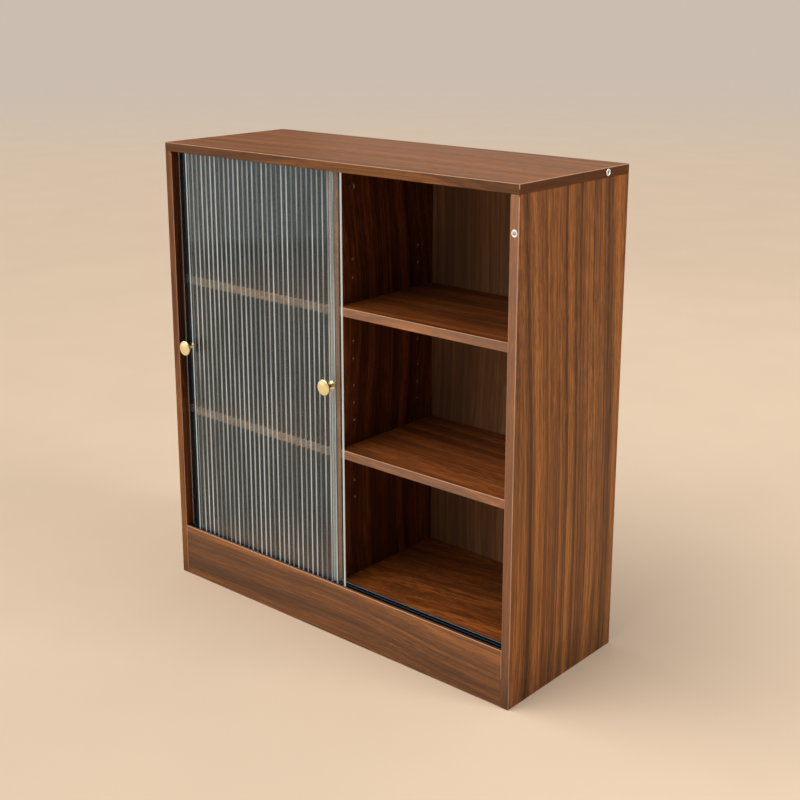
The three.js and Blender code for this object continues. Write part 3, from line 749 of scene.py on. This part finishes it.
def reeded_pane(side, knob_place):
    """A pane with round flutes side by side between two flat lands on its front, a flat back, eased corners and
    the knob's hole. The left door's pane is painted a shaded dark blue within its left clear width."""
    low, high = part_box(side + "_door_glass")
    clear_left, clear_right = CLEAR_WIDTHS[side]
    pitch = (high.x - low.x - LAND_LEFT - LAND_RIGHT) / FLUTES
    radius = pitch * pitch / (8 * FLUTE_DEPTH) + FLUTE_DEPTH / 2
    sweep = 2 * math.asin(pitch / (2 * radius))
    made = bmesh.new()
    start = low.x + LAND_LEFT
    cusp = made.verts.new((start, low.y + FLUTE_DEPTH, low.z))
    middle = (start + pitch / 2, low.y + radius, low.z)
    bmesh.ops.spin(made, geom=[cusp], cent=middle, axis=(0, 0, 1), angle=sweep, steps=FLUTE_STEPS)
    flute = list(made.verts) + list(made.edges)
    for index in range(1, FLUTES):
        copy = bmesh.ops.duplicate(made, geom=flute)["geom"]
        points = [item for item in copy if isinstance(item, bmesh.types.BMVert)]
        bmesh.ops.translate(made, verts=points, vec=(index * pitch, 0, 0))
    bmesh.ops.remove_doubles(made, verts=made.verts, dist=TOUCHING)
    ends = [vert for vert in made.verts if len(vert.link_edges) == 1]
    ends = bmesh.ops.extrude_vert_indiv(made, verts=ends)["verts"]
    for vert in ends:
        vert.co.x = low.x if vert.co.x < start + pitch / 2 else high.x
    backs = bmesh.ops.extrude_vert_indiv(made, verts=ends)["verts"]
    bmesh.ops.translate(made, verts=backs, vec=(0, high.y - low.y - FLUTE_DEPTH, 0))
    made.edges.new(backs)
    outline = bmesh.ops.contextual_create(made, geom=made.edges[:])["faces"]
    upper = bmesh.ops.extrude_face_region(made, geom=outline)["geom"]
    lifted = [item for item in upper if isinstance(item, bmesh.types.BMVert)]
    bmesh.ops.translate(made, verts=lifted, vec=(0, 0, high.z - low.z))
    bmesh.ops.recalc_face_normals(made, faces=made.faces)
    corners = [
        edge for edge in made.edges
        if abs(edge.verts[0].co.z - edge.verts[1].co.z) > (high.z - low.z) / 2
        and min(abs(edge.verts[0].co.x - low.x), abs(edge.verts[0].co.x - high.x)) < TOUCHING
    ]
    bmesh.ops.bevel(
        made, geom=corners, offset=PANE_EASE, offset_type="OFFSET", segments=2, profile=0.5, affect="EDGES",
        material=-1,
    )
    drill = turned([(0, -DRILL_REACH), (SCREW_HOLE, -DRILL_REACH), (SCREW_HOLE, DRILL_REACH), (0, DRILL_REACH)], 32)
    made = cut(made, [put(drill, knob_place)])
    for face in made.faces:
        middle = face.calc_center_median()
        depth = (middle.y - low.y) / FLUTE_DEPTH
        if not low.x + GROUND_WIDTH < middle.x < high.x - GROUND_WIDTH:
            face.material_index = GROUND
        elif depth > 1:
            face.material_index = BACK_GLASS
        elif side == "left" and middle.x < low.x + clear_left:
            face.material_index = END_SHADE
        elif not low.x + clear_left < middle.x < high.x - clear_right:
            face.material_index = FRONT_GLASS
        elif VALLEY_DEPTH < depth < 1:
            face.material_index = VALLEY
        elif SHOULDER_DEPTH < depth < 1:
            face.material_index = SHOULDER
    materials = [GLASS, GLASS_EDGES[side], *STRIPS[side], GLASS_BACK, END_SHADE_GLASS]
    finish_piece(
        made, side + "_reeded_pane", materials, side + "_door", side + "_door_glass", sharp=20
    )


# ---------------------------------------------------------------- knobs

def knob_outline():
    """Half of the knob's section: threaded bore, neck, a back that flares, an eased edge and a low-domed face."""
    outline = [(0, THREAD_END), (THREAD, THREAD_END), (THREAD, ROSE_FRONT), (KNOB_NECK, ROSE_FRONT)]
    outline += [(KNOB_NECK, NECK_END)]
    back_edge = (KNOB_HEAD - KNOB_EASE, KNOB_BACK)
    outline += curve((KNOB_NECK, NECK_END + 0.0002), (KNOB_NECK, 0.0150), (0.0075, KNOB_BACK), back_edge, 18)
    outline += curve(
        back_edge, (KNOB_HEAD - KNOB_EASE / 3, KNOB_BACK), (KNOB_HEAD, KNOB_BACK + KNOB_EASE / 3),
        (KNOB_HEAD, KNOB_BACK + KNOB_EASE), 5,
    )[1:]
    bevel = (KNOB_HEAD - KNOB_BEVEL, KNOB_RIM + 0.0019)
    outline += curve(
        (KNOB_HEAD, KNOB_RIM), (KNOB_HEAD, KNOB_RIM + 0.0009), (KNOB_HEAD - 0.0006, KNOB_RIM + 0.0016), bevel, 6
    )
    outline += curve(
        bevel, (KNOB_HEAD * 0.72, KNOB_FRONT - 0.0009), (KNOB_HEAD * 0.40, KNOB_FRONT), (0, KNOB_FRONT), 14
    )[1:]
    return outline


def rose_outline():
    """Half of the rose's section, from its hole out over the rim and up to the crown."""
    outline = [(SCREW_HOLE, 0), (ROSE, 0), (ROSE, 0.0005)]
    outline += curve((ROSE, 0.0006), (ROSE, 0.0016), (ROSE_CROWN + 0.0012, 0.0012), (ROSE_CROWN, ROSE_FRONT), 8)
    outline += [(SCREW_HOLE, ROSE_FRONT), (SCREW_HOLE, 0)]
    return outline


def screw_outline(under_head):
    """Half of the screw's section, from its tip in the knob to its domed head under a height."""
    outline = [(0, SHANK_END), (SHANK, SHANK_END), (SHANK, under_head), (SCREW_HEAD, under_head)]
    outline += [(SCREW_HEAD, under_head - 0.0010)]
    outline += curve(
        (SCREW_HEAD, under_head - 0.0011), (SCREW_HEAD, under_head - 0.0020),
        (0.003, under_head - SCREW_HEAD_HEIGHT), (0, under_head - SCREW_HEAD_HEIGHT), 8,
    )
    return outline


def knob(side):
    """The turned knob, its rose and the screw that holds it from behind. Returns the middle of its seat."""
    body = side + "_door"
    low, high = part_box(side + "_knob_rose")
    seat = Vector(((low.x + high.x) / 2, high.y, (low.z + high.z) / 2))
    finish = brass(side + "_knob_brass", seat)
    head = turned(knob_outline(), 96)
    finish_piece(put(head, seat), side + "_turned_knob", [finish], body, side + "_knob")
    rose = turned(rose_outline(), 64)
    finish_piece(put(rose, seat), side + "_turned_rose", [finish], body, side + "_knob_rose")
    pane_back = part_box(side + "_door_glass")[1].y - seat.y
    recess = cross(length=0.0046, width=0.0009, depth=0.003, y=pane_back + SCREW_HEAD_HEIGHT)
    screw = cut(turned(screw_outline(-pane_back), 40), recess)
    finish_piece(put(screw, seat), side + "_crosshead_screw", [ZINC], body, side + "_knob_screw")
    return seat


for side in ("left", "right"):
    seat = knob(side)
    reeded_pane(side, seat)


# ---------------------------------------------------------------- shelf pins, cam locks, edge inserts

# Half sections, as radii and heights. A pin's heights start at the board's face: what is below 0 is in the bore
PIN_STANDOUT = 0.008
PIN_OUTLINE = [
    (0, -0.0065), (0.0021, -0.0065), (0.0025, -0.0061), (0.0025, 0), (0.0037, 0), (0.004, 0.0003),
    (0.004, 0.0006), (0.0038, 0.0008), (0.0025, 0.0008), (0.0025, 0.0076), (0.0023, 0.0079),
    (0.0019, PIN_STANDOUT), (0, PIN_STANDOUT),
]
CAM_RADIUS = 0.0074
CAM_DISH = 0.0005
# The pocket for a bolt's head, bored across a cam's axis
POCKET_OUTLINE = [(0, -0.010), (0.0038, -0.010), (0.0038, 0.0024), (0, 0.0024)]
POCKET_DEPTH = 0.0047
INSERT_LENGTH = 0.013
INSERT_OUTLINE = [
    (0, 0), (0.006, 0), (0.006, 0.0124), (0.0058, 0.0128), (0.0054, INSERT_LENGTH), (0.0042, INSERT_LENGTH),
    (0.0036, 0.0126), (0, 0.0126),
]
HEX_ACROSS = 0.0055
HEX_DEPTH = 0.016


def cam_outline(length):
    """Half of a cam lock's section, with a raised rim round its face."""
    floor = length - CAM_DISH
    outline = [(0, 0), (CAM_RADIUS, 0), (CAM_RADIUS, length - 0.0004), (0.0071, length), (0.0062, length)]
    return outline + [(0.0058, floor), (0, floor)]


def hexagon(across, depth, height):
    """A hexagonal rod about a height on a turned piece's axis."""
    made = bmesh.new()
    radius = across / math.sqrt(3)
    bmesh.ops.create_cone(made, cap_ends=True, segments=6, radius1=radius, radius2=radius, depth=depth)
    return put(made, (0, -height, 0), (QUARTER_TURN, 0, 0))


def side_turn(points_right):
    """Turns a piece's axis from -Y to the right or to the left."""
    return 0, 0, QUARTER_TURN if points_right else -QUARTER_TURN


for name in list(nodes):
    if "_shelf_pin_" in name:
        low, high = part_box(name)
        middle = (low + high) / 2
        points_right = name.endswith("_left")
        face = high.x - PIN_STANDOUT if points_right else low.x + PIN_STANDOUT
        peg = put(turned(PIN_OUTLINE, 24), (face, middle.y, middle.z), side_turn(points_right))
        finish_piece(peg, name + "_peg", [ZINC], "carcass", name)
    elif name.endswith("_cam"):
        low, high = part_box(name)
        middle = (low + high) / 2
        length = high.x - low.x
        points_right = not name.startswith("right_side")
        pocket = put(turned(POCKET_OUTLINE, 24), (0, -POCKET_DEPTH, 0), (-QUARTER_TURN, 0, 0))
        slots = cross(length=0.0084, width=0.0016, depth=0.005, y=-length)
        lock = cut(turned(cam_outline(length), 48), [pocket, *slots])
        foot = low.x if points_right else high.x
        lock = put(lock, (foot, middle.y, middle.z), side_turn(points_right))
        finish_piece(lock, name + "_lock", [DULL_ZINC], "carcass", name)

for name, turn in (("side_edge_insert", 0), ("top_edge_insert", QUARTER_TURN)):
    low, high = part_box(name)
    middle = (low + high) / 2
    foot = (low.x, middle.y, middle.z) if turn else (middle.x, high.y, middle.z)
    sleeve = cut(turned(INSERT_OUTLINE, 48), [hexagon(HEX_ACROSS, HEX_DEPTH, INSERT_LENGTH)])
    finish_piece(put(sleeve, foot, (0, 0, turn)), name + "_sleeve", [BRIGHT_ZINC], "carcass", name)


# ---------------------------------------------------------------- floor and light

BACKGROUND = (0.60, 0.51, 0.43)
FLOOR = (0.72, 0.57, 0.43)
FLOOR_REACH = 15
FADE_FROM = 3.0
FADE_TO = 14.0


def floor_material():
    """A plain pale floor that fades into the background far from the object."""
    material, tree, shader = new_material("plain_floor", Roughness=0.8, Specular_IOR_Level=0.2)
    source = add(tree, "ShaderNodeTexCoord").outputs["Object"]
    grain = noise(tree, source, (3, 3, 3), 4)
    pale = tuple(1.03 * c for c in FLOOR)
    tree.links.new(ramp(tree, grain, (0.35, FLOOR), (0.65, pale)), shader.inputs["Base Color"])
    distance = add(tree, "ShaderNodeVectorMath", {0: source}, operation="LENGTH").outputs["Value"]
    tree.links.new(spread(tree, distance, FADE_FROM, FADE_TO, 1, 0, smooth=True), shader.inputs["Alpha"])
    return material


def make_floor():
    """One large square under the bookcase."""
    made = bmesh.new()
    bmesh.ops.create_grid(made, x_segments=1, y_segments=1, size=FLOOR_REACH)
    mesh = bpy.data.meshes.new("floor")
    made.to_mesh(mesh)
    made.free()
    mesh.materials.append(floor_material())
    floor = bpy.data.objects.new("floor", mesh)
    scene.collection.objects.link(floor)


def make_world(strength, tint):
    """Soft light from all round, and a pale background for the camera, gloss and glass."""
    world = bpy.data.worlds.new("studio")
    world.use_nodes = True
    scene.world = world
    tree = world.node_tree
    tree.nodes.clear()
    path = add(tree, "ShaderNodeLightPath")
    seen = maths(tree, "MAXIMUM", path.outputs["Is Camera Ray"], path.outputs["Is Glossy Ray"])
    seen = maths(tree, "MAXIMUM", seen, path.outputs["Is Transmission Ray"])
    ambient = add(tree, "ShaderNodeBackground", {"Color": (*tint, 1), "Strength": strength})
    shown = add(tree, "ShaderNodeBackground", {"Color": (*BACKGROUND, 1), "Strength": 1.0})
    mix = add(tree, "ShaderNodeMixShader", {0: seen, 1: ambient.outputs[0], 2: shown.outputs[0]})
    output = tree.nodes.new("ShaderNodeOutputWorld")
    tree.links.new(mix.outputs[0], output.inputs["Surface"])


def softbox(name, place, aim, size, power, tint, lights=True):
    """A soft lamp aimed at a point. One that doesn't light shows in gloss and glass alone."""
    light = bpy.data.lights.new(name, "AREA")
    light.shape = "RECTANGLE"
    light.size, light.size_y = size
    light.energy = power
    light.color = tint
    lamp = bpy.data.objects.new(name, light)
    lamp.location = place
    lamp.rotation_euler = (Vector(aim) - Vector(place)).to_track_quat("-Z", "Y").to_euler()
    lamp.visible_camera = False
    lamp.visible_diffuse = lights
    scene.collection.objects.link(lamp)


def window(name, direction, strength, angle, tint):
    """Even light from far away, soft by its angle."""
    light = bpy.data.lights.new(name, "SUN")
    light.energy = strength
    light.angle = math.radians(angle)
    light.color = tint
    lamp = bpy.data.objects.new(name, light)
    lamp.rotation_euler = Vector(direction).to_track_quat("-Z", "Y").to_euler()
    scene.collection.objects.link(lamp)


make_floor()
make_world(strength=0.34, tint=(1.0, 0.98, 0.95))
window("key_light", direction=(1.0, 1.05, -1.55), strength=2.5, angle=70, tint=(1.0, 0.96, 0.90))
softbox("side_light", (3.6, 0.7, 1.9), aim=(0.3, 0, 0.35), size=(1.6, 1.6), power=72, tint=(1.0, 0.97, 0.93))
softbox("front_light", (-1.9, -2.4, 1.7), aim=(0, -0.14, 0.47), size=(0.6, 0.6), power=8.0, tint=(1.0, 0.97, 0.93))
softbox(
    "reflector", (-2.6, -2.35, 0.36), aim=(0, -0.14, 0.36), size=(2.2, 0.6), power=2.2, tint=(1.0, 0.94, 0.88),
    lights=False,
)
softbox("rear_light", (-1.5, 2.5, 1.5), aim=(0.25, 0, 0.85), size=(1.6, 0.9), power=3.2, tint=(1.0, 0.90, 0.78))
